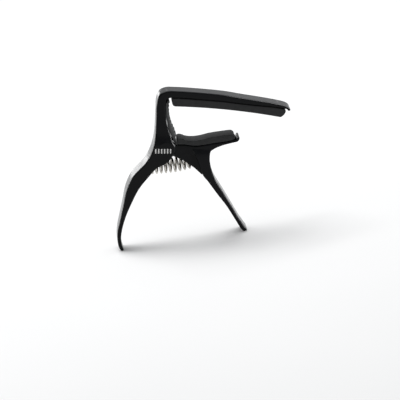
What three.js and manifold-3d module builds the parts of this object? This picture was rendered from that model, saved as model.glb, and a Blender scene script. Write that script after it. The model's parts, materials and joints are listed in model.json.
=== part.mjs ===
// One-handed spring capo for a guitar: a cast frame with a fixed handle, a cast lever hinged in its fork,
// a coil spring between the two handles, and soft pads where the capo touches strings and neck.
// Millimetres, +Z up. Every part is drawn in the capo's own plane with the pivot pin at 0, 0:
// +X runs out along the arm, +Y is depth. The whole capo is then tilted to stand on its two handle tips.

import * as THREE from 'three';
import { mergeVertices } from 'three/addons/utils/BufferGeometryUtils.js';
import Module from 'manifold-3d';

const wasm = await Module();
wasm.setup();

// Driving dimensions
const GAP = 0.3;                  // clearance between separate pieces
const FORK_HALF_WIDTH = 6.4;      // half the capo's depth across the fork of the frame
const SLOT_HALF_WIDTH = 4.55;     // half the depth of the slot the lever swings in
const SLOT_RADIUS = 5.2;          // round top of that slot, about the pivot
const SEAT_X = -8.6;              // wall at the closed end of the slot, where the spring bears
const EAR_RADIUS = 5;             // round nose of each fork ear
const HUB_RADIUS = 4.4;           // round nose of the lever's tongue
const TONGUE_HALF_WIDTH = SLOT_HALF_WIDTH - GAP;
const PIN_RADIUS = 1.75;
const PIN_BLIND_END = -5.4;       // the pin stops short of the frame's front face
const WIRE_RADIUS = 0.55;
const COIL_RADIUS = 3.25;         // to the middle of the wire
const COILS = 9.5;
const POCKET_RADIUS = COIL_RADIUS + WIRE_RADIUS + 0.2;
const PEG_RADIUS = 1.9;
const PAD_HALF_WIDTH = 5.1;
const LINER_HALF_WIDTH = 4;
const RIB_PITCH = 2;
const RIB_DEPTH = 0.45;

// Spring axis: starts square to the frame's seat and turns up into the pocket in the lever
const SPRING_START = new THREE.Vector3(-7.7, 0, -10.3);
const SPRING_END = new THREE.Vector3(13.2, 0, -6.8);
const START_ANGLE = 0.09;
const END_ANGLE = 0.45;
const SPRING_BEND = 7;            // how far each end keeps its direction

// Castings are bars whose section is a rounded rectangle. Each station holds
// outer edge x, z, inner edge x, z, half width and outer edge radius.
// The outer edge lies on the right-hand side of the way along the bar, seen from the front.
const ARM = [
  [60.6, 18.9, 59.4, 18.7, 4.7, 0.5],
  [60.4, 19.9, 59, 19.5, 4.9, 0.6],
  [59.2, 20.9, 57.9, 19.9, 5, 0.7],
  [57.3, 21.6, 56.3, 20.2, 5, 0.8],
  [51.9, 22.8, 51.3, 20.9, 5, 0.9],
  [44, 24.2, 43.5, 21.7, 5, 0.9],
  [36.2, 25.5, 35.8, 22.6, 5, 0.9],
  [28.9, 26.8, 28.6, 23.6, 5, 0.9],
  [16.7, 28.1, 16.5, 24.7, 5, 0.9],
  [4.5, 28.95, 5, 25.6, 5, 1],
];
const COLUMN = [
  [-0.2, 28.9, 1.4, 25.4, 5, 1.1],
  [-3.4, 27.2, 0.2, 24.6, 5, 1.2],
  [-4.7, 23.6, -0.4, 22.8, 5, 1.2],
  [-5, 17, -0.3, 17, 5.1, 1.3],
  [-5.2, 11.4, 0.7, 11, 5.4, 1.4],
  [-5.5, 6.6, 2.2, 6.4, 5.7, 1.6],
];
const FORK = [
  [-6.3, 1.8, 3.6, 1.4, FORK_HALF_WIDTH, 1.8],
  [-8, -3.2, 3, -3.6, FORK_HALF_WIDTH, 1.8],
  [-10.3, -7.2, 0.4, -6.8, FORK_HALF_WIDTH, 1.9],
  [-13.5, -10.6, -4.4, -9.4, FORK_HALF_WIDTH, 2.1],
];
const FIXED_HANDLE = [
  [-16.6, -14.3, -8.3, -13.8, 6.2, 2.3],
  [-19.3, -20.4, -13, -20, 5.8, 2.3],
  [-20.8, -27.8, -16.6, -27.3, 5.6, 2],
  [-22.2, -34.8, -19.6, -34.8, 5.5, 1.5],
  [-23.4, -41, -21.3, -41.4, 5.3, 1.1],
  [-23.6, -45.5, -21.7, -45.7, 5.2, 1],
  [-22.9, -49.7, -21, -49.7, 5, 0.9],
  [-21.7, -51.9, -20.3, -51.68, 4.6, 0.5],
];
const JAW = [
  [5.2, -1.8, 5.7, 1.9, TONGUE_HALF_WIDTH, 1],
  [9, -3.1, 9.2, 1.95, TONGUE_HALF_WIDTH, 1],
  [14.5, -3.4, 14.5, 1.3, 4.8, 1],
  [20.5, -2.1, 19.6, 1.9, 5, 1],
  [24.4, 0.2, 24.1, 2.7, 5, 0.9],
  [28.2, 1.7, 27.9, 3.15, 5, 0.7],
  [32.8, 2.9, 32.2, 3.95, 5, 0.5],
  [35, 3.5, 33.9, 4.5, 5, 0.5],
  [35.9, 4.7, 34.6, 5, 4.9, 0.5],
  [35.9, 5.7, 34.8, 5.7, 4.7, 0.5],
];
const LEVER_HANDLE = [
  [40.1, -42.06, 38.6, -42.3, 4.5, 0.4],
  [40.3, -41.2, 38, -41.7, 4.8, 0.9],
  [38.9, -39.2, 36.9, -40.3, 4.9, 1],
  [36.4, -35.6, 34.6, -36.5, 5.1, 1],
  [31.8, -27.8, 29.9, -29, 5.3, 1.2],
  [27.7, -21, 25.2, -22.8, 5.5, 1.6],
  [24.4, -15.6, 20.8, -16.7, 5.6, 1.9],
  [22.6, -11.2, 18.2, -13.4, 5.6, 2],
  [21.6, -6.7, 16.2, -7.7, 5.6, 1.8],
  [21.6, -2.8, 14.4, -3.6, 5.4, 1.5],
  [22.3, -0.3, 13, -0.6, 5, 1.2],
];

const BLACK_PAINT = new THREE.MeshStandardMaterial({ color: 0x17181a, roughness: 0.35, metalness: 0.4 });
const BLACK_SILICONE = new THREE.MeshStandardMaterial({ color: 0x232427, roughness: 0.75, metalness: 0 });
const PLATED_STEEL = new THREE.MeshStandardMaterial({ color: 0xc9c7c0, roughness: 0.22, metalness: 1 });

// Booleans

function toSolid(geometry) {
  const bare = geometry.clone();
  bare.deleteAttribute('normal');
  bare.deleteAttribute('uv');
  const merged = mergeVertices(bare, 1e-5);
  const vertProperties = new Float32Array(merged.attributes.position.array);
  const triVerts = new Uint32Array(merged.index.array);
  return new wasm.Manifold(new wasm.Mesh({ numProp: 3, vertProperties, triVerts }));
}

function toGeometry(solid) {
  const mesh = solid.getMesh();
  const geometry = new THREE.BufferGeometry();
  geometry.setAttribute('position', new THREE.BufferAttribute(mesh.vertProperties, 3));
  geometry.setIndex(new THREE.BufferAttribute(mesh.triVerts, 1));
  geometry.computeVertexNormals();
  return geometry;
}

// Shapes

// Extrudes an outline drawn in X and Z, centred on the mid-plane. A bevel stays inside the outline.
function plate(shape, halfWidth, bevel = 0, curveSegments = 24) {
  const geometry = new THREE.ExtrudeGeometry(shape, {
    depth: 2 * (halfWidth - bevel),
    bevelEnabled: bevel > 0,
    bevelThickness: bevel,
    bevelSize: bevel,
    bevelOffset: -bevel,
    bevelSegments: 2,
    curveSegments,
  });
  geometry.rotateX(Math.PI / 2);
  geometry.translate(0, halfWidth - bevel, 0);
  return geometry;
}

// A rod along Y from one depth to another
function rodY(radius, fromY, toY, segments = 40) {
  const geometry = new THREE.CylinderGeometry(radius, radius, toY - fromY, segments);
  geometry.translate(0, (fromY + toY) / 2, 0);
  return geometry;
}

// A rod in the capo's plane that starts at a point and runs in the direction of an angle above +X
function rodAt(start, angle, radius, length, segments = 36) {
  const geometry = new THREE.CylinderGeometry(radius, radius, length, segments);
  geometry.rotateZ(-Math.PI / 2);
  geometry.translate(length / 2, 0, 0);
  geometry.rotateY(-angle);
  geometry.translate(start.x, start.y, start.z);
  return geometry;
}

// One point of the rounded rectangle between an outer and an inner edge.
// Each corner takes a quarter of the points, starting from the back inner corner.
function sectionPoint(outer, inner, index, perCorner) {
  const across = new THREE.Vector3(outer.x - inner.x, 0, outer.z - inner.z);
  const thickness = across.length();
  across.normalize();
  const corner = Math.floor(index / perCorner);
  const turn = (index % perCorner) / (perCorner - 1) * Math.PI / 2;
  const onOuterSide = corner === 1 || corner === 2;
  const wanted = onOuterSide ? inner.y : Math.min(0.8, inner.y);
  const radius = Math.min(wanted, 0.48 * thickness);
  const angle = (corner - 1) * Math.PI / 2 + turn;
  const side = corner < 2 ? 1 : -1;
  const depth = side * (outer.y - radius) + radius * Math.cos(angle);
  const height = (onOuterSide ? thickness - radius : radius) + radius * Math.sin(angle);
  return new THREE.Vector3(inner.x + across.x * height, depth, inner.z + across.z * height);
}

// A cast bar: a closed cylinder whose rings are moved onto sections at smooth steps along the stations
function castBar(stations, perSpan = 2, perCorner = 4) {
  const outerEdge = new THREE.CatmullRomCurve3(stations.map(([x, z, , , half]) => new THREE.Vector3(x, half, z)));
  const innerEdge = new THREE.CatmullRomCurve3(stations.map(([, , x, z, , round]) => new THREE.Vector3(x, round, z)));
  const widest = Math.max(...stations.map((station) => station[4]));
  const rows = (stations.length - 1) * perSpan;
  const around = 4 * perCorner;
  const geometry = new THREE.CylinderGeometry(1, 1, 1, around, rows);
  const position = geometry.attributes.position;
  for (let i = 0; i < position.count; i += 1) {
    const t = 0.5 - position.getY(i);
    const outer = outerEdge.getPoint(t);
    const inner = innerEdge.getPoint(t);
    outer.y = Math.min(outer.y, widest);
    const onAxis = Math.hypot(position.getX(i), position.getZ(i)) < 0.5;
    const angle = Math.atan2(position.getX(i), position.getZ(i));
    const index = Math.round(angle / (2 * Math.PI) * around + around) % around;
    const moved = onAxis
      ? new THREE.Vector3((outer.x + inner.x) / 2, 0, (outer.z + inner.z) / 2)
      : sectionPoint(outer, inner, index, perCorner);
    position.setXYZ(i, moved.x, moved.y, moved.z);
  }
  return geometry;
}

// Castings

function slotShape() {
  const shape = new THREE.Shape();
  shape.moveTo(14, 10);
  shape.lineTo(SLOT_RADIUS * Math.cos(1), SLOT_RADIUS * Math.sin(1));
  shape.absarc(0, 0, SLOT_RADIUS, 1, Math.PI + 0.2, false);
  shape.lineTo(SEAT_X, -6.4);
  shape.lineTo(SEAT_X, -22);
  shape.lineTo(24, -22);
  shape.lineTo(24, 10);
  shape.closePath();
  return shape;
}

function frameGeometry() {
  const bar = toSolid(castBar([...ARM, ...COLUMN, ...FORK, ...FIXED_HANDLE]));
  const ears = toSolid(earGeometry());
  const slot = toSolid(plate(slotShape(), SLOT_HALF_WIDTH));
  const bore = toSolid(rodY(PIN_RADIUS + GAP, PIN_BLIND_END - GAP, FORK_HALF_WIDTH + 1));
  const pegStart = new THREE.Vector3(SEAT_X - 1, 0, SPRING_START.z - 1.9 * Math.sin(START_ANGLE));
  const peg = toSolid(rodAt(pegStart, START_ANGLE, PEG_RADIUS, 3.6, 24));
  return toGeometry(bar.add(ears).subtract(slot).add(peg).subtract(bore));
}

// The round noses of the fork ears: one short drum, which the slot then splits in two
function earGeometry() {
  const edge = 1;
  const profile = [
    new THREE.Vector2(0, -FORK_HALF_WIDTH),
    new THREE.Vector2(EAR_RADIUS - edge, -FORK_HALF_WIDTH),
    new THREE.Vector2(EAR_RADIUS - 0.3 * edge, -FORK_HALF_WIDTH + 0.3 * edge),
    new THREE.Vector2(EAR_RADIUS, -FORK_HALF_WIDTH + edge),
    new THREE.Vector2(EAR_RADIUS, FORK_HALF_WIDTH - edge),
    new THREE.Vector2(EAR_RADIUS - 0.3 * edge, FORK_HALF_WIDTH - 0.3 * edge),
    new THREE.Vector2(EAR_RADIUS - edge, FORK_HALF_WIDTH),
    new THREE.Vector2(0, FORK_HALF_WIDTH),
  ];
  return new THREE.LatheGeometry(profile, 40);
}

function tongueShape() {
  const shape = new THREE.Shape();
  shape.moveTo(15, 0.9);
  shape.lineTo(5.4, 1.6);
  shape.absarc(0, 0, HUB_RADIUS, 0.5, -0.9, false);
  shape.lineTo(8.5, -6);
  shape.lineTo(13.7, -9.6);
  shape.lineTo(17.6, -13.2);
  shape.lineTo(21, -8);
  shape.lineTo(21, -1);
  shape.closePath();
  return shape;
}

// The blind pocket the spring runs into, which follows the spring's own axis
function pocketGeometry() {
  const axis = springAxis();
  const path = [0.4, 0.5, 0.6, 0.7, 0.8, 0.9].map((t) => axis.getPoint(t));
  path.push(SPRING_END.clone().add(alongSpringEnd(WIRE_RADIUS + GAP)));
  const section = new THREE.Shape();
  section.absarc(0, 0, POCKET_RADIUS, 0, 2 * Math.PI, false);
  return new THREE.ExtrudeGeometry(section, {
    steps: 9,
    curveSegments: 16,
    bevelEnabled: false,
    extrudePath: new THREE.CatmullRomCurve3(path),
  });
}

function leverGeometry() {
  const jaw = toSolid(castBar(JAW));
  const handle = toSolid(castBar(LEVER_HANDLE));
  const tongue = toSolid(plate(tongueShape(), TONGUE_HALF_WIDTH, 0.4));
  const pocket = toSolid(pocketGeometry());
  const peg = toSolid(rodAt(SPRING_END.clone().add(alongSpringEnd(-1.6)), END_ANGLE, PEG_RADIUS, 4, 24));
  const bore = toSolid(rodY(PIN_RADIUS + GAP, -SLOT_HALF_WIDTH, SLOT_HALF_WIDTH));
  return toGeometry(jaw.add(handle).add(tongue).subtract(pocket).add(peg).subtract(bore));
}

function pivotPinGeometry() {
  const tip = 0.4;
  const profile = [
    new THREE.Vector2(0, PIN_BLIND_END),
    new THREE.Vector2(PIN_RADIUS - tip, PIN_BLIND_END),
    new THREE.Vector2(PIN_RADIUS, PIN_BLIND_END + tip),
    new THREE.Vector2(PIN_RADIUS, FORK_HALF_WIDTH - tip),
    new THREE.Vector2(PIN_RADIUS - tip, FORK_HALF_WIDTH),
    new THREE.Vector2(0, FORK_HALF_WIDTH),
  ];
  return new THREE.LatheGeometry(profile, 36);
}

// Spring

function alongSpringEnd(distance) {
  return new THREE.Vector3(Math.cos(END_ANGLE), 0, Math.sin(END_ANGLE)).multiplyScalar(distance);
}

function springAxis() {
  const first = new THREE.Vector3(Math.cos(START_ANGLE), 0, Math.sin(START_ANGLE));
  return new THREE.CubicBezierCurve3(
    SPRING_START,
    SPRING_START.clone().addScaledVector(first, SPRING_BEND),
    SPRING_END.clone().add(alongSpringEnd(-SPRING_BEND)),
    SPRING_END,
  );
}

// A right-handed coil about the bent axis
class Coil extends THREE.Curve {
  constructor(axis) {
    super();
    this.axis = axis;
  }

  getPoint(t) {
    const centre = this.axis.getPoint(t);
    const forward = this.axis.getTangent(t);
    const up = new THREE.Vector3(-forward.z, 0, forward.x);
    const angle = 2 * Math.PI * COILS * t - Math.PI / 2;
    return centre
      .addScaledVector(up, COIL_RADIUS * Math.sin(angle))
      .add(new THREE.Vector3(0, COIL_RADIUS * Math.cos(angle), 0));
  }
}

function springGeometry() {
  const wire = new THREE.Shape();
  wire.absarc(0, 0, WIRE_RADIUS, 0, 2 * Math.PI, false);
  return new THREE.ExtrudeGeometry(wire, {
    steps: Math.round(COILS * 12),
    curveSegments: 4,
    bevelEnabled: false,
    extrudePath: new Coil(springAxis()),
  });
}

// Soft parts

// Points along the inner edge of a run of stations, moved off the metal by the gap
function seatLine(stations, offsetX, offsetZ) {
  return stations.map(([, , x, z]) => new THREE.Vector2(x + offsetX, z + offsetZ));
}

function stringPadGeometry() {
  const top = seatLine(ARM.slice(3), 0, -GAP - 0.05);
  const shape = new THREE.Shape();
  shape.moveTo(4.6, 21.5);
  shape.quadraticCurveTo(30.2, 20.7, 55.8, 16);
  shape.quadraticCurveTo(58.4, 17.2, 58.3, 19.2);
  shape.splineThru(top);
  shape.lineTo(2.9, 25.2);
  shape.lineTo(2.8, 23);
  shape.quadraticCurveTo(2.9, 21.6, 4.6, 21.5);
  return plate(shape, PAD_HALF_WIDTH, 0.6, 7);
}

function neckPadGeometry() {
  const bottom = seatLine(JAW.slice(1, 7), 0, GAP + 0.05).reverse();
  const shape = new THREE.Shape();
  shape.moveTo(5.4, 2.3);
  shape.lineTo(bottom[5].x, bottom[5].y);
  const rest = [...bottom].reverse().slice(1);
  shape.splineThru(rest);
  shape.lineTo(33.9, 5.2);
  shape.quadraticCurveTo(33.5, 7.1, 31.7, 7.1);
  shape.quadraticCurveTo(24, 6.2, 20.4, 5.4);
  shape.quadraticCurveTo(13.5, 3.2, 9.2, 4.5);
  shape.quadraticCurveTo(6.8, 5.8, 5.4, 4.8);
  shape.closePath();
  return plate(shape, PAD_HALF_WIDTH, 0.6, 6);
}

// The liner's ribs are crests and valleys taken in turn along its face. Its plain lower end
// tucks down between the fork ears and stops short of the lever's tongue
function columnLinerGeometry() {
  const back = seatLine(COLUMN.slice(2, 6), GAP + 0.1, 0).reverse();
  const face = new THREE.CatmullRomCurve3([
    new THREE.Vector3(1.8, 0, 24.2),
    new THREE.Vector3(1.4, 0, 21),
    new THREE.Vector3(1.6, 0, 17.4),
    new THREE.Vector3(2.6, 0, 13),
    new THREE.Vector3(4.7, 0, 7.8),
    new THREE.Vector3(5, 0, 6.2),
  ]);
  const ribs = Math.round(face.getLength() / RIB_PITCH);
  const shape = new THREE.Shape();
  shape.moveTo(5.05, 3);
  shape.lineTo(4.3, 2.9);
  shape.lineTo(3.5, 3.9);
  shape.lineTo(3.2, 5.4);
  shape.splineThru(back.slice(0, 3));
  shape.lineTo(0, 22.4);
  shape.lineTo(0.7, 24.3);
  for (let rib = 0; rib < ribs; rib += 1) {
    for (const [place, rise] of [[0.15, 0], [0.5, 0], [0.7, 1], [0.95, 1]]) {
      const t = (rib + place) / ribs;
      const point = face.getPointAt(t);
      const along = face.getTangentAt(t);
      shape.lineTo(point.x + RIB_DEPTH * rise * along.z, point.z - RIB_DEPTH * rise * along.x);
    }
  }
  shape.closePath();
  return plate(shape, LINER_HALF_WIDTH);
}

// Assembly

function named(name, geometry, material) {
  const mesh = new THREE.Mesh(geometry, material);
  mesh.name = name;
  return mesh;
}

// Lowest height of a geometry once the capo is tilted by an angle
function lowestPoint(geometry, tilt) {
  const position = geometry.attributes.position;
  let lowest = Infinity;
  for (let i = 0; i < position.count; i += 1) {
    lowest = Math.min(lowest, position.getZ(i) * Math.cos(tilt) - position.getX(i) * Math.sin(tilt));
  }
  return lowest;
}

// The tilt at which both handle tips reach equally low, found by halving
function standingTilt(fixed, moving) {
  let low = 0;
  let high = Math.PI / 6;
  for (let step = 0; step < 40; step += 1) {
    const middle = (low + high) / 2;
    if (lowestPoint(moving, middle) > lowestPoint(fixed, middle)) {
      low = middle;
    } else {
      high = middle;
    }
  }
  return low;
}

const frame = named('frame', frameGeometry(), BLACK_PAINT);
const lever = named('lever', leverGeometry(), BLACK_PAINT);
const capo = new THREE.Group();
capo.add(
  frame,
  lever,
  named('string_pad', stringPadGeometry(), BLACK_SILICONE),
  named('neck_pad', neckPadGeometry(), BLACK_SILICONE),
  named('column_liner', columnLinerGeometry(), BLACK_SILICONE),
  named('spring', springGeometry(), PLATED_STEEL),
  named('pivot_pin', pivotPinGeometry(), PLATED_STEEL),
);

const tilt = standingTilt(frame.geometry, lever.geometry);
capo.rotation.y = tilt;
capo.position.z = -lowestPoint(frame.geometry, tilt);
capo.updateMatrixWorld(true);
const extent = new THREE.Box3().setFromObject(capo, true);
capo.position.x = -(extent.min.x + extent.max.x) / 2;

const group = new THREE.Group();
group.add(capo);

export default group;
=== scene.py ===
"""One-handed spring capo for a guitar, standing on its two handle tips.

A cast frame carries the arm, the column, the fork and the fixed handle. A cast lever with the jaw swings
in the fork on a steel pin, and a coil spring between the handles closes it. Silicone pads meet the guitar.
"""

import json
from math import cos, hypot, pi, radians, sin

import bmesh
import bpy
from mathutils import Matrix, Vector


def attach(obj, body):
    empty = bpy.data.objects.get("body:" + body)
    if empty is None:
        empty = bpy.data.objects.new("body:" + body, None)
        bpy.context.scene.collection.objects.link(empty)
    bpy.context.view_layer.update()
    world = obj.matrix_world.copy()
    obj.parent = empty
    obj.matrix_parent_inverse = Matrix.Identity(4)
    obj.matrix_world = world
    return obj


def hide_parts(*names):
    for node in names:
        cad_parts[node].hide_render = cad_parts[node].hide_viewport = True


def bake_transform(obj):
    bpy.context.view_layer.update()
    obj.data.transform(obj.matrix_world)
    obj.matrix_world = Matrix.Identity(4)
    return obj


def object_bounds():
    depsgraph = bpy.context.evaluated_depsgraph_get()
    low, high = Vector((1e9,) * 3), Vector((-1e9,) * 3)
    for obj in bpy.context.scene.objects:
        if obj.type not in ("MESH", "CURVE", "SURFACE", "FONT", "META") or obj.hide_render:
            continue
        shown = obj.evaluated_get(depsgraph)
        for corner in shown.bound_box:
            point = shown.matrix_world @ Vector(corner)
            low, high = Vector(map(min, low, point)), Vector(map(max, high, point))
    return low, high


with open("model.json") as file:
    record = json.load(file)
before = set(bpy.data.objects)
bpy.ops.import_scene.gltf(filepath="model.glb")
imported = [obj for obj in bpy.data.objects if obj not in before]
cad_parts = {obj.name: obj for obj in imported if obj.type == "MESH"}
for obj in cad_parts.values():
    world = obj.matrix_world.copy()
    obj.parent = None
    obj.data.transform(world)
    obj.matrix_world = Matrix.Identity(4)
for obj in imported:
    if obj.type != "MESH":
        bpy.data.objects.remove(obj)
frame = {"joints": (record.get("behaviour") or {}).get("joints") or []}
cad_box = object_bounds()


# The frame: arm, column, fork and fixed handle, die cast in one piece and coated with black enamel.
# It is drawn in the capo's own plane in millimetres, with the pivot pin at 0, 0 and +X out along the arm.
# The plane is then leaned until both handle tips stand on the floor.
LEAN = radians(9.0485)
PIVOT = Vector(frame["joints"][0]["pos_m"])
STAND_UP = Matrix.Translation(PIVOT) @ Matrix.Rotation(LEAN, 4, "Y") @ Matrix.Scale(0.001, 4)

# Each station across a casting: outer edge x, z, inner edge x, z, half depth, rounding of the outer edge
ARM = [
    (60.6, 18.9, 59.4, 18.7, 4.7, 0.4),
    (60.4, 19.9, 59, 19.5, 4.9, 0.4),
    (59.2, 20.9, 57.9, 19.9, 5, 0.5),
    (57.3, 21.6, 56.3, 20.2, 5, 0.5),
    (51.9, 22.8, 51.3, 20.9, 5, 0.5),
    (44, 24.2, 43.5, 21.7, 5, 0.5),
    (36.2, 25.5, 35.8, 22.6, 5, 0.5),
    (28.9, 26.8, 28.6, 23.6, 5, 0.5),
    (16.7, 28.1, 16.5, 24.7, 5, 0.5),
    (4.5, 28.95, 5, 25.6, 5, 0.5),
]
COLUMN = [
    (-0.2, 28.9, 1.4, 25.4, 5, 0.7),
    (-3.4, 27.2, 0.2, 24.6, 5, 0.7),
    (-4.7, 23.6, -0.4, 22.8, 5, 0.7),
    (-5, 17, -0.3, 17, 5.1, 0.7),
    (-5.2, 11.4, 0.7, 11, 5.4, 0.7),
    (-5.5, 6.6, 2.2, 6.4, 5.7, 0.7),
]
FORK_HALF = 6.4
FORK = [
    (-6.3, 1.8, 3.6, 1.4, FORK_HALF, 0.8),
    (-8, -3.2, 3, -3.6, FORK_HALF, 0.8),
    (-10.3, -7.2, 0.4, -6.8, FORK_HALF, 0.8),
    (-13.5, -10.6, -4.4, -9.4, FORK_HALF, 0.8),
]
FIXED_HANDLE = [
    (-16.6, -14.3, -8.3, -13.8, 6.2, 0.7),
    (-19.3, -20.4, -13, -20, 5.8, 0.7),
    (-20.8, -27.8, -16.6, -27.3, 5.6, 0.7),
    (-22.2, -34.8, -19.6, -34.8, 5.5, 0.7),
    (-23.4, -41, -21.3, -41.4, 5.3, 0.7),
    (-23.6, -45.5, -21.7, -45.7, 5.2, 0.7),
    (-22.9, -49.7, -21, -49.7, 5, 0.6),
    (-21.7, -51.9, -20.3, -51.68, 4.6, 0.4),
]

# The inner edges are rounded less than the outer ones, and no rounding takes more than its share of a bar
INNER_ROUNDING = 0.4
OUTER_SHARE = 0.6
INNER_SHARE = 0.35

# The fork's two ears are round about the pin, and the slot between them takes the lever's tongue
EAR_ROUND = 5
EAR_RIM = 1.6
SLOT_HALF = 4.55
SLOT_ROUND = 5.2
SLOT_TOP = 10
SLOT_BOTTOM = -22
SLOT_MOUTH = 24

# The bore is blind: it comes in from the back and stops inside the front ear
PIN_ROUND = 1.95
PIN_BLIND_END = -5.4
BORE_ROUND = PIN_ROUND + 0.12
BORE_END_GAP = 0.3
CENTRE_DOT = 0.01

# The spring's first turn sits on a peg, whose root is sunk into the fork's flat inner wall
SEAT_X = -8.6
SEAT_TOP = -6.4
SPRING_START = Vector((-7.7, 0, -10.3))
START_ANGLE = 0.09
PEG_ROUND = 1.9
PEG_CHAMFER = 0.4
SEAT_PEG_LONG = 3.6
SEAT_PEG_ROOT = 1
SEAT_PEG_BACK = 1.9

ENAMEL_DEEP = (0.0008, 0.0009, 0.0011, 1)
ENAMEL_LIFTED = (0.0018, 0.0019, 0.0022, 1)
# Painted highlight: a pale grey laid on the convex edges in place of light catching their rounding
ENAMEL_EDGE_HIGHLIGHT = (0.035, 0.035, 0.037, 1)


def smooth_run(points, per_span):
    """Points of a smooth curve through the given points, with so many steps to each span."""
    known = [Vector(p) for p in points]
    known = [2 * known[0] - known[1], *known, 2 * known[-1] - known[-2]]
    run = []
    for a, b, c, d in zip(known, known[1:], known[2:], known[3:]):
        ab, bc, cd = ((q - p).length ** 0.5 for p, q in ((a, b), (b, c), (c, d)))
        leave = ((b - a) / ab - (c - a) / (ab + bc) + (c - b) / bc) * bc
        arrive = ((c - b) / bc - (d - b) / (bc + cd) + (d - c) / cd) * bc
        squared = 3 * (c - b) - 2 * leave - arrive
        cubed = 2 * (b - c) + leave + arrive
        for step in range(per_span):
            t = step / per_span
            run.append(b + leave * t + squared * t**2 + cubed * t**3)
    return [*run, known[-2]]


def piece(name, points, faces):
    """A closed mesh object with its faces turned outwards."""
    mesh = bpy.data.meshes.new(name)
    mesh.from_pydata([tuple(p) for p in points], [], faces)
    shape = bmesh.new()
    shape.from_mesh(mesh)
    bmesh.ops.recalc_face_normals(shape, faces=shape.faces)
    shape.to_mesh(mesh)
    shape.free()
    made = bpy.data.objects.new(name, mesh)
    bpy.context.scene.collection.objects.link(made)
    return made


def ring_faces(rings, around, first=0):
    """The faces that close a skin over rings of so many points each, counted from the first point."""
    last = first + (rings - 1) * around
    faces = []
    for start in range(first, last, around):
        for i in range(around):
            j = (i + 1) % around
            faces.append((start + i, start + j, start + around + j, start + around + i))
    faces.append(tuple(range(first, first + around)))
    faces.append(tuple(range(last, last + around)))
    return faces


def skin(name, rings):
    """A closed skin over rings that all have as many points, with a flat face at each end."""
    points = [p for ring in rings for p in ring]
    return piece(name, points, ring_faces(len(rings), len(rings[0])))


def rounded_section(outer, inner, half, rounding, per_corner=7):
    """A rounded rectangle between a bar's outer and inner edge."""
    across = outer - inner
    thick = across.length
    across.normalize()
    outer_radius = min(rounding, OUTER_SHARE * thick)
    inner_radius = min(INNER_ROUNDING, rounding, INNER_SHARE * thick)
    ring = []
    for corner in range(4):
        on_outer_side = corner in (1, 2)
        radius = outer_radius if on_outer_side else inner_radius
        side = 1 if corner < 2 else -1
        for step in range(per_corner):
            angle = (corner - 1 + step / (per_corner - 1)) * pi / 2
            depth = side * (half - radius) + radius * cos(angle)
            rise = (thick - radius if on_outer_side else radius) + radius * sin(angle)
            ring.append(Vector((inner.x + across.x * rise, depth, inner.z + across.z * rise)))
    return ring


def cast_bar(name, stations, per_span=8):
    """A solid bar through its stations, with its edges, depth and rounding on smooth curves."""
    outer = smooth_run([(x, half, z) for x, z, _, _, half, _ in stations], per_span)
    inner = smooth_run([(x, rounding, z) for _, _, x, z, _, rounding in stations], per_span)
    widest = max(half for *_, half, _ in stations)
    rings = []
    for a, b in zip(outer, inner):
        rings.append(rounded_section(Vector((a.x, 0, a.z)), Vector((b.x, 0, b.z)), min(a.y, widest), b.y))
    return skin(name, rings)


def turned(name, profile, steps=96):
    """A part turned about the pivot's own axis, from (radius, depth) pairs."""
    turns = [2 * pi * i / steps for i in range(steps)]
    rings = [[(radius * cos(a), depth, radius * sin(a)) for a in turns] for radius, depth in profile]
    return skin(name, rings)


def plate(name, outline, half):
    """A flat plate cut to an outline of x, z pairs, centred on the capo's mid-plane."""
    return skin(name, [[(x, depth, z) for x, z in outline] for depth in (-half, half)])


def arc(x, z, radius, start, end, steps):
    """Points round a circle, with the angles in radians above +X."""
    angles = [start + (end - start) * i / steps for i in range(steps + 1)]
    return [(x + radius * cos(a), z + radius * sin(a)) for a in angles]


def round_over(radius, depth, edge, steps=6):
    """The (radius, depth) pairs of a drum's rounded rim, from its flat end to its side."""
    angles = [i / steps * pi / 2 for i in range(steps + 1)]
    return [(radius - edge + edge * sin(a), depth - edge + edge * cos(a)) for a in angles]


def heading(angle):
    """The direction in the capo's plane at an angle above +X."""
    return Vector((cos(angle), 0, sin(angle)))


def hoop(centre, forward, radius, steps=48):
    """A ring of points round a line that runs forward in the capo's plane."""
    up = Vector((-forward.z, 0, forward.x))
    turns = [2 * pi * i / steps for i in range(steps)]
    return [centre + up * radius * sin(a) + Vector((0, radius * cos(a), 0)) for a in turns]


def peg(name, start, angle, length):
    """A round spring peg in the capo's plane with a small chamfer at its far end."""
    forward = heading(angle)
    sections = (
        (0, PEG_ROUND),
        (length - PEG_CHAMFER, PEG_ROUND),
        (length, PEG_ROUND - PEG_CHAMFER),
    )
    return skin(name, [hoop(start + forward * along, forward, radius) for along, radius in sections])


def settle(made):
    """Fixes what the modifiers do into the mesh."""
    made.update_tag()
    bpy.context.view_layer.update()
    finished = bpy.data.meshes.new_from_object(made.evaluated_get(bpy.context.evaluated_depsgraph_get()))
    made.modifiers.clear()
    made.data = finished
    return made


def machine(made, operation, tool):
    """Adds a shape to a part (UNION) or cuts it away (DIFFERENCE), and puts the tool away."""
    cut = made.modifiers.new("cut", "BOOLEAN")
    cut.operation = operation
    cut.solver = "EXACT"
    cut.object = tool
    settle(made)
    bpy.data.objects.remove(tool)


def cast(made, grain=0.22, rub=6, keep=0.45):
    """Melts a part's joints into one skin with small fillets, as the die leaves them."""
    melt = made.modifiers.new("melt", "REMESH")
    melt.mode = "VOXEL"
    melt.voxel_size = grain
    rubbed = made.modifiers.new("rub", "SMOOTH")
    rubbed.factor = 0.5
    rubbed.iterations = rub
    thin = made.modifiers.new("thin", "DECIMATE")
    thin.ratio = keep
    settle(made)


def finish_piece(made, body, replaces=None, material=None, smooth=True):
    """Stands the part up on its handle tips, gives it its finish and lets it ride on its body."""
    made.data.transform(STAND_UP)
    for face in made.data.polygons:
        face.use_smooth = smooth
    made.data.materials.clear()
    made.data.materials.append(material)
    if body:
        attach(made, body)
    if replaces:
        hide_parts(replaces)
    return made


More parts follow.
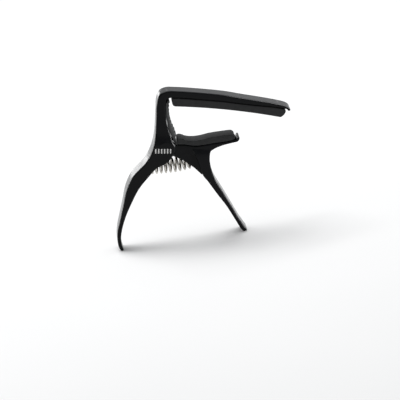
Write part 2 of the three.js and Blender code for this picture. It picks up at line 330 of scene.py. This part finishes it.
class Recipe:
    """A node material: each call adds one node and returns its output."""

    def __init__(self, name):
        self.material = bpy.data.materials.new(name)
        self.material.use_nodes = True
        self.tree = self.material.node_tree
        self.shader = self.tree.nodes["Principled BSDF"]

    def node(self, kind, settings=None, **inputs):
        made = self.tree.nodes.new(kind)
        for key, value in (settings or {}).items():
            setattr(made, key, value)
        for key, value in inputs.items():
            self.feed(made.inputs[key.replace("_", " ")], value)
        return made

    def feed(self, socket, value):
        if isinstance(value, bpy.types.NodeSocket):
            self.tree.links.new(value, socket)
        else:
            socket.default_value = value

    def place(self):
        return self.node("ShaderNodeTexCoord").outputs["Object"]

    def noise(self, scale, detail=2.0, vector=None):
        made = self.node("ShaderNodeTexNoise", Vector=vector or self.place(), Scale=scale, Detail=detail)
        return made.outputs["Fac"]

    def between(self, value, low, high, to_low, to_high):
        """Maps a value from one range to another, held at the ends."""
        made = self.node("ShaderNodeMapRange", Value=value)
        made.inputs["From Min"].default_value = low
        made.inputs["From Max"].default_value = high
        made.inputs["To Min"].default_value = to_low
        made.inputs["To Max"].default_value = to_high
        return made.outputs["Result"]

    def mix(self, share, first, second):
        """Mixes two colours, which go to the mix node's own pair of colour sockets."""
        made = self.node("ShaderNodeMix", {"data_type": "RGBA"})
        self.feed(made.inputs["Factor"], share)
        self.feed(made.inputs[6], first)
        self.feed(made.inputs[7], second)
        return made.outputs[2]

    def times(self, a, b):
        made = self.node("ShaderNodeMath", {"operation": "MULTIPLY"})
        self.feed(made.inputs[0], a)
        self.feed(made.inputs[1], b)
        return made.outputs[0]

    def bumps(self, *layers):
        """Stacks (height, depth in metres, strength) layers into the shader's normal."""
        normal = None
        for height, depth, strength in layers:
            made = self.node("ShaderNodeBump", Height=height, Distance=depth, Strength=strength)
            if normal:
                self.feed(made.inputs["Normal"], normal)
            normal = made.outputs["Normal"]
        self.feed(self.shader.inputs["Normal"], normal)

    def set(self, **values):
        for key, value in values.items():
            self.feed(self.shader.inputs[key.replace("_", " ")], value)


def black_enamel():
    """Satin black enamel over zinc, with a faint orange peel and a painted highlight that lightens the
    convex edges in patches.
    """
    coat = Recipe("black_enamel")
    body = coat.mix(coat.noise(420, 4), ENAMEL_DEEP, ENAMEL_LIFTED)
    edge = coat.node("ShaderNodeNewGeometry").outputs["Pointiness"]
    painted_highlight_patches = coat.between(coat.noise(900, 3), 0.4, 0.7, 0.15, 1.0)
    # Painted highlight: the convex edges, found by their pointiness, are lightened in patches towards the
    # pale grey
    rubbed = coat.times(coat.between(edge, 0.53, 0.62, 0.0, 1.0), painted_highlight_patches)
    coat.set(Base_Color=coat.mix(rubbed, body, ENAMEL_EDGE_HIGHLIGHT))
    coat.set(Roughness=coat.between(coat.noise(260, 5), 0.3, 0.7, 0.13, 0.22), Specular_IOR_Level=0.11)
    orange_peel = (coat.noise(1300, 2), 0.00006, 0.25)
    fine_grain = (coat.noise(7000, 2), 0.00001, 0.25)
    coat.bumps(orange_peel, fine_grain)
    return coat.material


ENAMEL = black_enamel()

ear_rim = round_over(EAR_ROUND, FORK_HALF, EAR_RIM)
back_ear = [*ear_rim[::-1], (CENTRE_DOT, FORK_HALF)]
front_ear = [(radius, -depth) for radius, depth in back_ear[::-1]]
slot_outline = [
    (14, SLOT_TOP),
    *arc(0, 0, SLOT_ROUND, 1, pi + 0.2, 60),
    (SEAT_X, SEAT_TOP),
    (SEAT_X, SLOT_BOTTOM),
    (SLOT_MOUTH, SLOT_BOTTOM),
    (SLOT_MOUTH, SLOT_TOP),
]
seat_peg_start = Vector((SEAT_X - SEAT_PEG_ROOT, 0, SPRING_START.z - SEAT_PEG_BACK * sin(START_ANGLE)))
blind_bore = [(BORE_ROUND, PIN_BLIND_END - BORE_END_GAP), (BORE_ROUND, FORK_HALF + 1)]

frame_casting = cast_bar("frame_casting", [*ARM, *COLUMN, *FORK, *FIXED_HANDLE])
machine(frame_casting, "UNION", turned("ears", [*front_ear, *back_ear]))
machine(frame_casting, "DIFFERENCE", plate("slot", slot_outline, SLOT_HALF))
machine(frame_casting, "UNION", peg("seat_peg", seat_peg_start, START_ANGLE, SEAT_PEG_LONG))
machine(frame_casting, "DIFFERENCE", turned("bore", blind_bore))
cast(frame_casting)
finish_piece(frame_casting, "frame_body", "frame", ENAMEL)


# The printed mark on the front ear: six short upright ticks in white pad-printing ink, in place of any
# wording. The ink lies on the enamel as a film that stands a little proud of it.
TICKS = 6
TICK_PITCH = 1.45
TICK_WIDE = 0.62
TICK_TALL = 2.3
TICK_CORNER = 0.15
MARK_X = -1.5
MARK_Z = -0.7
INK_PROUD = 0.05

INK_THIN = (0.55, 0.55, 0.54, 1)
INK_FULL = (0.82, 0.82, 0.80, 1)


def white_ink():
    """Pad-printing ink, a little thin and uneven."""
    ink = Recipe("white_ink")
    ink.set(Base_Color=ink.mix(ink.between(ink.noise(2600, 3), 0.35, 0.65, 0.0, 1.0), INK_THIN, INK_FULL))
    ink.set(Roughness=ink.between(ink.noise(1500, 2), 0.3, 0.7, 0.4, 0.55))
    ink.bumps((ink.noise(5000, 2), 0.00001, 0.3))
    return ink.material


def tick_outline(x):
    """A narrow upright rectangle with round corners, centred on the mark's own height."""
    to_side = TICK_WIDE / 2 - TICK_CORNER
    to_end = TICK_TALL / 2 - TICK_CORNER
    outline = []
    for right, up, start in ((1, 1, 0), (-1, 1, pi / 2), (-1, -1, pi), (1, -1, 3 * pi / 2)):
        outline += arc(x + right * to_side, MARK_Z + up * to_end, TICK_CORNER, start, start + pi / 2, 4)
    return outline


def printed_mark():
    """All the ticks as one piece, each from just under the front ear's face to just over it."""
    points, faces = [], []
    for tick in range(TICKS):
        outline = tick_outline(MARK_X + (tick - (TICKS - 1) / 2) * TICK_PITCH)
        faces += ring_faces(2, len(outline), len(points))
        for depth in (-FORK_HALF - INK_PROUD, -FORK_HALF + INK_PROUD):
            points += [(x, depth, z) for x, z in outline]
    return piece("printed_ticks", points, faces)


finish_piece(printed_mark(), "frame_body", material=white_ink(), smooth=False)


# The lever: jaw, tongue and handle, die cast in one piece and enamelled like the frame.
# Its tongue fills the fork's slot, and a blind pocket under the jaw takes the far end of the spring.
JAW = [
    (5.2, -1.8, 5.7, 1.9, 4.25, 0.6),
    (9, -3.1, 9.2, 1.95, 4.25, 0.6),
    (14.5, -3.4, 14.5, 1.3, 4.8, 0.6),
    (20.5, -2.1, 19.6, 1.9, 5, 0.6),
    (24.4, 0.2, 24.1, 2.7, 5, 0.6),
    (28.2, 1.7, 27.9, 3.15, 5, 0.5),
    (32.8, 2.9, 32.2, 3.95, 5, 0.4),
    (35, 3.5, 33.9, 4.5, 5, 0.4),
    (35.9, 4.7, 34.6, 5, 4.9, 0.4),
    (35.9, 5.7, 34.8, 5.7, 4.7, 0.4),
]
LEVER_HANDLE = [
    (40.1, -42.06, 38.6, -42.3, 4.5, 0.3),
    (40.3, -41.2, 38, -41.7, 4.8, 0.6),
    (38.9, -39.2, 36.9, -40.3, 4.9, 0.7),
    (36.4, -35.6, 34.6, -36.5, 5.1, 0.7),
    (31.8, -27.8, 29.9, -29, 5.3, 0.7),
    (27.7, -21, 25.2, -22.8, 5.5, 0.7),
    (24.4, -15.6, 20.8, -16.7, 5.6, 0.7),
    (22.6, -11.2, 18.2, -13.4, 5.6, 0.7),
    (21.6, -6.7, 16.2, -7.7, 5.6, 0.7),
    (21.6, -2.8, 14.4, -3.6, 5.4, 0.7),
    (22.3, -0.3, 13, -0.6, 5, 0.7),
]
TONGUE_HALF = 4.25
HUB_ROUND = 4.4
BORE_REACH = 6

# The spring is wound about a bent line, which leaves its seat and meets its pocket at these angles
SPRING_END = Vector((13.2, 0, -6.8))
END_ANGLE = 0.45
SPRING_BEND = 7
COIL_ROUND = 3.25
WIRE_ROUND = 0.55

# The pocket is cut from a share of the way along the spring's line to a little past its end. The peg that
# stands in it has its root further on, inside the jaw.
POCKET_ROUND = COIL_ROUND + WIRE_ROUND + 0.2
POCKET_MOUTH = 0.4
POCKET_PAST = 0.85
POCKET_STEPS = 13
POCKET_PEG_LONG = 4
POCKET_PEG_ROOT = 2.4


def spring_axis(t):
    """The bent line that the spring is wound about, from its seat at 0 to its pocket at 1."""
    leave = SPRING_START + SPRING_BEND * heading(START_ANGLE)
    arrive = SPRING_END - SPRING_BEND * heading(END_ANGLE)
    u = 1 - t
    return u**3 * SPRING_START + 3 * u * u * t * leave + 3 * u * t * t * arrive + t**3 * SPRING_END


def along_axis(t, near=0.001):
    """The direction of the spring's line at a share of its length."""
    return (spring_axis(min(1, t + near)) - spring_axis(max(0, t - near))).normalized()


def pocket():
    """The cutter for the round pocket, which follows the spring's own line."""
    rings = []
    for step in range(POCKET_STEPS + 1):
        t = POCKET_MOUTH + (1 - POCKET_MOUTH) * (step / POCKET_STEPS)
        rings.append(hoop(spring_axis(t), along_axis(t), POCKET_ROUND))
    forward = along_axis(1)
    rings.append(hoop(spring_axis(1) + forward * POCKET_PAST, forward, POCKET_ROUND))
    return skin("pocket", rings)


tongue_outline = [
    (15, 0.9),
    (5.4, 1.6),
    *arc(0, 0, HUB_ROUND, 0.5, 2 * pi - 0.9, 60),
    (8.5, -6),
    (13.7, -9.6),
    (17.6, -13.2),
    (21, -8),
    (21, -1),
]
pocket_peg_start = SPRING_END + POCKET_PEG_ROOT * heading(END_ANGLE)
through_bore = [(BORE_ROUND, -BORE_REACH), (BORE_ROUND, BORE_REACH)]

lever_casting = cast_bar("lever_casting", LEVER_HANDLE)
machine(lever_casting, "UNION", cast_bar("jaw", JAW))
machine(lever_casting, "UNION", plate("tongue", tongue_outline, TONGUE_HALF))
machine(lever_casting, "DIFFERENCE", pocket())
machine(lever_casting, "UNION", peg("pocket_peg", pocket_peg_start, END_ANGLE + pi, POCKET_PEG_LONG))
machine(lever_casting, "DIFFERENCE", turned("bore", through_bore))
cast(lever_casting)
finish_piece(lever_casting, "lever_body", "lever", ENAMEL)


# The pivot pin: a turned and plated steel pin, pressed in from the back and left flush with the back ear.
# It stops inside the front ear, so the front shows no pin.
PIN_DULL = (0.50, 0.49, 0.47, 1)
PIN_BRIGHT = (0.66, 0.65, 0.62, 1)


def plated_pin():
    """Bright plating over fine turning rings."""
    metal = Recipe("plated_pin")
    centred = metal.node("ShaderNodeVectorMath", {"operation": "SUBTRACT"})
    metal.feed(centred.inputs[0], metal.place())
    centred.inputs[1].default_value = PIVOT
    about_pin = {"wave_type": "RINGS", "rings_direction": "Y"}
    rings = metal.node("ShaderNodeTexWave", about_pin, Vector=centred.outputs[0])
    rings.inputs["Scale"].default_value = 1400
    rings.inputs["Distortion"].default_value = 0.6
    turning = rings.outputs["Fac"]
    metal.set(Base_Color=metal.mix(metal.noise(900, 3), PIN_DULL, PIN_BRIGHT))
    metal.set(Metallic=1.0, Roughness=metal.between(turning, 0.0, 1.0, 0.2, 0.34))
    metal.bumps((turning, 0.00001, 0.4))
    return metal.material


# The profile runs from the chamfered blind end to the back end, which is rounded and slightly dished
pin_profile = [
    (CENTRE_DOT, PIN_BLIND_END),
    (PIN_ROUND - 0.3, PIN_BLIND_END),
    (PIN_ROUND, PIN_BLIND_END + 0.4),
    (PIN_ROUND, FORK_HALF - 0.35),
    (PIN_ROUND - 0.1, FORK_HALF - 0.12),
    (PIN_ROUND - 0.35, FORK_HALF),
    (0.6, FORK_HALF - 0.02),
    (CENTRE_DOT, FORK_HALF - 0.12),
]
pin = turned("pivot_pin_turned", pin_profile)
finish_piece(pin, "frame_body", "pivot_pin", plated_pin(), smooth=False)


# The string pad: a black silicone moulding under the arm, which presses the strings on the fretboard.
# Its underside bows gently along the arm, its edges are moulded round, and it is glued to the casting.
PAD_HALF = 5.1
PAD_EDGE = 0.35
GLUE_LINE = 0.3
HEEL = (4.6, 21.3)
TOE = (55.8, 15.7)

SILICONE_DARK = (0.022, 0.0225, 0.023, 1)
SILICONE_PALE = (0.040, 0.0405, 0.041, 1)
DUST = (0.12, 0.12, 0.12, 1)


def black_silicone():
    """Matte silicone with a fine moulded grain and a few pale specks of dust."""
    rubber = Recipe("black_silicone")
    tone = rubber.mix(rubber.noise(500, 4), SILICONE_DARK, SILICONE_PALE)
    specks = rubber.between(rubber.noise(9000, 1), 0.72, 0.78, 0.0, 0.5)
    rubber.set(Base_Color=rubber.mix(specks, tone, DUST))
    rubber.set(Roughness=rubber.between(rubber.noise(800, 3), 0.3, 0.7, 0.55, 0.7), Specular_IOR_Level=0.12)
    mould_grain = (rubber.noise(2200, 3), 0.00008, 0.35)
    fine_grain = (rubber.noise(9000, 2), 0.00002, 0.3)
    rubber.bumps(mould_grain, fine_grain)
    return rubber.material


SILICONE = black_silicone()


def bend(start, control, end, steps):
    """Points of a single bow from start to end, pulled towards the control point."""
    return [
        tuple((1 - t) ** 2 * a + 2 * (1 - t) * t * b + t * t * c for a, b, c in zip(start, control, end))
        for t in (i / steps for i in range(steps + 1))
    ]


def edge_line(points, per_span=6):
    """A smooth line through x, z pairs."""
    return [(p.x, p.z) for p in smooth_run([(x, 0, z) for x, z in points], per_span)]


def tidy_outline(outline, least=0.05):
    """Drops points that fall on their neighbour."""
    kept = []
    for p in outline:
        if not kept or hypot(p[0] - kept[-1][0], p[1] - kept[-1][1]) > least:
            kept.append(p)
    if hypot(kept[0][0] - kept[-1][0], kept[0][1] - kept[-1][1]) <= least:
        kept.pop()
    return kept


def moulded(made, rounding, steps=5, angle=40):
    """Rounds the moulding's sharp edges."""
    rim = made.modifiers.new("rim", "BEVEL")
    rim.width = rounding
    rim.segments = steps
    rim.limit_method = "ANGLE"
    rim.angle_limit = radians(angle)
    rim.use_clamp_overlap = True
    return settle(made)


under_arm = [(x, z - GLUE_LINE) for _, _, x, z, _, _ in ARM[3:]]
string_pad_outline = tidy_outline([
    *bend(HEEL, (30.2, 20.5), TOE, 40),
    *bend(TOE, (58.4, 17.1), (58.3, 19.2), 8),
    *edge_line(under_arm),
    (2.9, 25.2),
    *bend((2.8, 23), (2.9, 21.4), HEEL, 6),
])
string_pad = moulded(plate("string_pad_moulding", string_pad_outline, PAD_HALF), PAD_EDGE)
finish_piece(string_pad, "frame_body", "string_pad", SILICONE)


# The neck pad: the same silicone on top of the jaw, dished to sit against the back of the neck.
# It is glued on like the string pad, and its outer end stops short of the lip at the jaw's tip.
LIP_END = (33.9, 5.2)
OUTER_CREST = (31.7, 7.1)
DISH_OUTER = (20.4, 5.4)
DISH_INNER = (9.2, 4.5)

on_jaw = [(x, z + GLUE_LINE) for _, _, x, z, _, _ in JAW[1:7]]
neck_pad_outline = tidy_outline([
    (5.4, 2.3),
    *edge_line(on_jaw),
    *bend(LIP_END, (33.5, 7.1), OUTER_CREST, 6),
    *bend(OUTER_CREST, (24, 6.2), DISH_OUTER, 12),
    *bend(DISH_OUTER, (13.5, 3.2), DISH_INNER, 14),
    *bend(DISH_INNER, (6.8, 5.8), (5.4, 4.8), 8),
])
neck_pad = moulded(plate("neck_pad_moulding", neck_pad_outline, PAD_HALF), PAD_EDGE)
finish_piece(neck_pad, "lever_body", "neck_pad", SILICONE)


# The column liner: a strip of the same silicone glued to the inside of the column and narrower than it,
# with ribs across it that grip the edge of the neck. Its plain lower end tucks down between the ears.
LINER_HALF = 4
LINER_EDGE = 0.2
LINER_GLUE_LINE = 0.15
RIBS = 10
RIB_HEIGHT = 0.6
RIB_LEAN = 0.5
RIB_SHARPNESS = 1.4


def ribbed_line(line):
    """The line of the face cut into round ribs, which lean towards the arm like the teeth of a grip."""
    lengths = [0]
    for a, b in zip(line, line[1:]):
        lengths.append(lengths[-1] + (b - a).length)
    cut = []
    for i, p in enumerate(line):
        run = (line[min(i + 1, len(line) - 1)] - line[max(i - 1, 0)]).normalized()
        wave = 0.5 + 0.5 * cos(2 * pi * RIBS * lengths[i] / lengths[-1])
        depth = RIB_HEIGHT * wave**RIB_SHARPNESS
        x = p.x + run.z * depth + run.x * depth * RIB_LEAN
        z = p.z - run.x * depth + run.z * depth * RIB_LEAN
        cut.append((x, z))
    return cut


liner_back = edge_line([(x + LINER_GLUE_LINE, z) for _, _, x, z, _, _ in COLUMN[2:6]][::-1])
liner_face = [(1.8, 0, 24.2), (1.4, 0, 21), (1.6, 0, 17.4), (2.6, 0, 13), (4.7, 0, 7.8), (5.2, 0, 6)]
liner_outline = tidy_outline([
    (5.25, 3),
    (4.3, 2.9),
    (3.5, 3.9),
    (3.1, 5.3),
    *liner_back,
    (0.1, 22.4),
    (0.8, 24.2),
    *ribbed_line(smooth_run(liner_face, 24)),
])
liner = moulded(plate("column_liner_moulding", liner_outline, LINER_HALF), LINER_EDGE, steps=3, angle=60)
finish_piece(liner, "frame_body", "column_liner", SILICONE)


# The spring: right-handed compression spring of plated music wire, about ten turns with closed ends.
# One end sits on the frame's peg, the other in the lever's pocket. It is built here in one fixed shape.
TURNS = 10.5
END_TURNS = 1.0
CLOSED_PITCH = 2.3 * WIRE_ROUND
DRESSED_END = 0.82
WIRE_SIDES = 14
STEPS_PER_TURN = 40

WIRE_DULL = (0.46, 0.44, 0.40, 1)
WIRE_BRIGHT = (0.66, 0.64, 0.60, 1)


def plated_wire():
    """Bright nickel plate over drawn wire, with faint lines along the wire."""
    metal = Recipe("plated_wire")
    along = metal.node("ShaderNodeUVMap").outputs["UV"]
    drawn = metal.node("ShaderNodeMapping", Vector=along, Scale=(14.0, 60.0, 1.0)).outputs["Vector"]
    lines = metal.noise(1.0, 4, drawn)
    metal.set(Base_Color=metal.mix(metal.noise(3.0, 3, drawn), WIRE_DULL, WIRE_BRIGHT))
    metal.set(Metallic=1.0, Roughness=metal.between(lines, 0.3, 0.7, 0.14, 0.28))
    metal.bumps((lines, 0.00001, 0.3))
    return metal.material


def share_along(turn):
    """How far along its line the spring is after so many turns: the end turns lie almost wire to wire."""
    closed = CLOSED_PITCH / (spring_axis(0) - spring_axis(1)).length
    middle = (1 - 2 * END_TURNS * closed) / (TURNS - 2 * END_TURNS)
    if turn < END_TURNS:
        share = closed * turn
    elif turn > TURNS - END_TURNS:
        share = 1 - closed * (TURNS - turn)
    else:
        share = closed * END_TURNS + middle * (turn - END_TURNS)
    return min(1, max(0, share))


def coil_point(turn):
    """The middle of the wire after so many turns, which start at the bottom of the coil."""
    t = share_along(turn)
    forward = along_axis(t)
    up = Vector((-forward.z, 0, forward.x))
    angle = 2 * pi * turn - pi / 2
    return spring_axis(t) + COIL_ROUND * (up * sin(angle) + Vector((0, cos(angle), 0)))


def chart_wire(made, steps):
    """Lays the wire's surface out flat: once round the wire across, and its whole length up."""
    chart = made.data.uv_layers.new(name="UVMap")
    for face in made.data.polygons:
        corners = [made.data.loops[i].vertex_index for i in face.loop_indices]
        sides = [v % WIRE_SIDES for v in corners]
        wraps = max(sides) - min(sides) > 1 and len(corners) == 4
        for loop, v, side in zip(face.loop_indices, corners, sides):
            u = (side + (WIRE_SIDES if wraps and side == 0 else 0)) / WIRE_SIDES
            chart.data[loop].uv = (u, v // WIRE_SIDES / steps)


def wound_spring():
    """The wire as a closed tube along its coil, a little slimmer at its two dressed ends."""
    steps = int(TURNS * STEPS_PER_TURN)
    turns = [TURNS * i / steps for i in range(steps + 1)]
    line = [coil_point(turn) for turn in turns]
    angles = [2 * pi * k / WIRE_SIDES for k in range(WIRE_SIDES)]
    rings = []
    for i, p in enumerate(line):
        run = (line[min(i + 1, steps)] - line[max(i - 1, 0)]).normalized()
        out = p - spring_axis(share_along(turns[i]))
        out = (out - run * out.dot(run)).normalized()
        side = run.cross(out)
        radius = WIRE_ROUND * (DRESSED_END if i in (0, steps) else 1)
        rings.append([p + radius * (out * cos(a) + side * sin(a)) for a in angles])
    made = skin("coil_spring", rings)
    chart_wire(made, steps)
    return made


spring = finish_piece(wound_spring(), None, "spring", plated_wire())
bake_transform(spring)


# The floor: a plain pale studio table, matt and very slightly mottled.
# It is a wide round disc in metres, and isn't part of the capo.
FLOOR_ROUND = 4.0
FLOOR_SIDES = 96
FLOOR_GREY = (0.80, 0.80, 0.80, 1)
FLOOR_PALE = (0.83, 0.83, 0.83, 1)


def pale_floor():
    """Matt pale paint."""
    paint = Recipe("pale_floor")
    paint.set(Base_Color=paint.mix(paint.noise(6, 2), FLOOR_GREY, FLOOR_PALE))
    paint.set(Roughness=0.9, Specular_IOR_Level=0.1)
    return paint.material


floor_turns = [2 * pi * i / FLOOR_SIDES for i in range(FLOOR_SIDES)]
floor_points = [(FLOOR_ROUND * cos(a), FLOOR_ROUND * sin(a), 0) for a in floor_turns]
floor = piece("floor", floor_points, [tuple(range(FLOOR_SIDES))])
floor.data.materials.append(pale_floor())


# Light: a pale room, brighter on its far side, and one broad soft light overhead. Three panels, at the
# left, the right and the far side, light only the castings and the liner and draw their round edges.
# Places and sizes are in metres, and powers in watts.
ROOM_COLOUR = (0.95, 0.96, 0.97, 1)
ROOM_NEAR = 0.35
ROOM_FAR = 0.7


def soft_light(name, at, look_at, across, tall, power):
    """A rectangular soft light that faces a point."""
    lamp = bpy.data.lights.new(name, "AREA")
    lamp.shape = "RECTANGLE"
    lamp.size = across
    lamp.size_y = tall
    lamp.energy = power
    made = bpy.data.objects.new(name, lamp)
    bpy.context.scene.collection.objects.link(made)
    made.location = at
    made.rotation_mode = "QUATERNION"
    made.rotation_quaternion = (Vector(look_at) - Vector(at)).to_track_quat("-Z", "Y")
    return made


def pale_room():
    """Light from all round, which grows from the near side to the far side."""
    room = bpy.data.worlds.new("pale_room")
    room.use_nodes = True
    nodes, links = room.node_tree.nodes, room.node_tree.links
    direction = nodes.new("ShaderNodeTexCoord")
    parts = nodes.new("ShaderNodeSeparateXYZ")
    links.new(direction.outputs["Generated"], parts.inputs[0])
    fade = nodes.new("ShaderNodeMapRange")
    fade.inputs["From Min"].default_value = -0.7
    fade.inputs["From Max"].default_value = 0.3
    fade.inputs["To Min"].default_value = ROOM_NEAR
    fade.inputs["To Max"].default_value = ROOM_FAR
    links.new(parts.outputs["Y"], fade.inputs["Value"])
    links.new(fade.outputs["Result"], nodes["Background"].inputs["Strength"])
    nodes["Background"].inputs["Color"].default_value = ROOM_COLOUR
    return room


middle = (cad_box[0] + cad_box[1]) / 2
soft_light("overhead", (-0.2, 0.35, 1.1), middle, across=0.8, tall=0.8, power=12)
panels = [
    soft_light("left_panel", (-0.8, 0.12, 0.2), middle, across=0.5, tall=0.35, power=16),
    soft_light("right_panel", (0.26, -0.05, 0.22), (0, -0.02, 0.1), across=0.2, tall=0.42, power=9),
    soft_light("far_panel", (-0.3, 0.62, 0.07), (0, 0, 0.06), across=0.4, tall=0.13, power=0.5),
]
castings_and_liner = bpy.data.collections.new("castings_and_liner")
for lit in (frame_casting, lever_casting, liner):
    castings_and_liner.objects.link(lit)
for panel in panels:
    panel.light_linking.receiver_collection = castings_and_liner
    panel.visible_camera = False

bpy.context.scene.world = pale_room()
bpy.context.scene.view_settings.view_transform = "Standard"


# Camera: a long lens, a little above the capo and to its left, aimed below and to the right of the pivot.
# It is set up in the capo's own plane and leaned with it, so that the arm lies nearly level.
AZIMUTH = radians(-4)
ELEVATION = radians(16)
ROLL = radians(0.7)
LENS = 250
SENSOR = 36
VIEW_WIDE = 194.8
AIM_RIGHT = 16.45
AIM_DOWN = 24.42

onward = Vector((-sin(AZIMUTH) * cos(ELEVATION), cos(AZIMUTH) * cos(ELEVATION), -sin(ELEVATION)))
view_turn = onward.to_track_quat("-Z", "Y").to_matrix() @ Matrix.Rotation(ROLL, 3, "Z")
rightward, upward = view_turn.col[0], view_turn.col[1]
aim = Vector((0, -FORK_HALF, 0)) + AIM_RIGHT * rightward - AIM_DOWN * upward
eye = aim - onward * VIEW_WIDE * LENS / SENSOR

lens = bpy.data.cameras.new("camera")
lens.lens = LENS
lens.sensor_width = SENSOR
lens.clip_start = 0.01
lens.clip_end = 50
camera = bpy.data.objects.new("camera", lens)
bpy.context.scene.collection.objects.link(camera)
camera.rotation_mode = "QUATERNION"
camera.location = STAND_UP @ eye
camera.rotation_quaternion = (Matrix.Rotation(LEAN, 3, "Y") @ view_turn).to_quaternion()
bpy.context.scene.camera = camera
